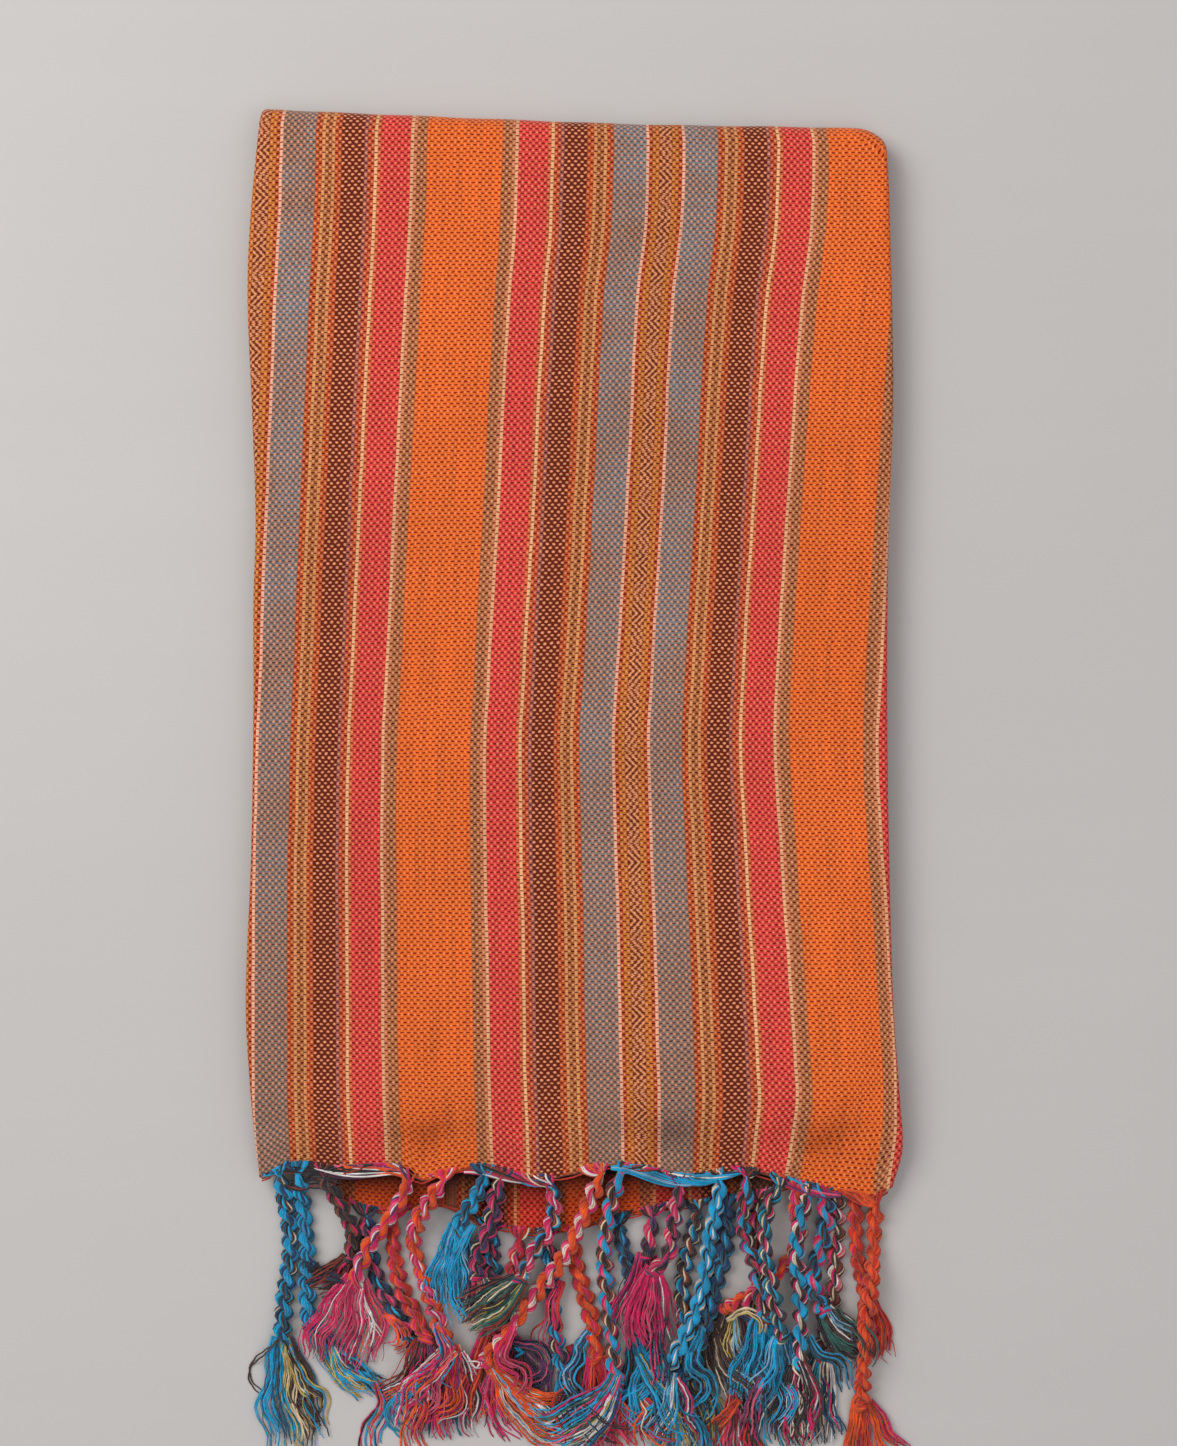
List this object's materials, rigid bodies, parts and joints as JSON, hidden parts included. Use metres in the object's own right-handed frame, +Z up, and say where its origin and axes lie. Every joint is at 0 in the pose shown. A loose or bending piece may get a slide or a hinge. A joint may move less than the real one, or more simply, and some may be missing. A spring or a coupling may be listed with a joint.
{
  "type": "folded striped cotton scarf with twisted fringe",
  "caption": "Hand-woven cotton scarf with lengthwise stripes, folded flat, its two ends together with knotted twisted fringes",
  "frame": {"origin": "under the middle of the folded scarf's bounding box, on the surface that it lies on", "axes": "+X to the right and +Y away from the fringe as seen from above, +Z up from the surface"},
  "size_m": [0.2365, 0.5023, 0.0196],
  "materials": {
    "striped_cloth": "plain-woven matte cotton, orange weft through striped warp",
    "hidden_cloth": "the same cotton seen at its folded edges",
    "fringe_yarn": "soft twisted cotton yarn of many colours"
  },
  "bodies": {
    "root": {"front_cloth": "striped_cloth", "under_cloth": "striped_cloth", "hidden_layers": "hidden_cloth", "front_fringe": "fringe_yarn", "under_fringe": "fringe_yarn"}
  },
  "joints": []
}
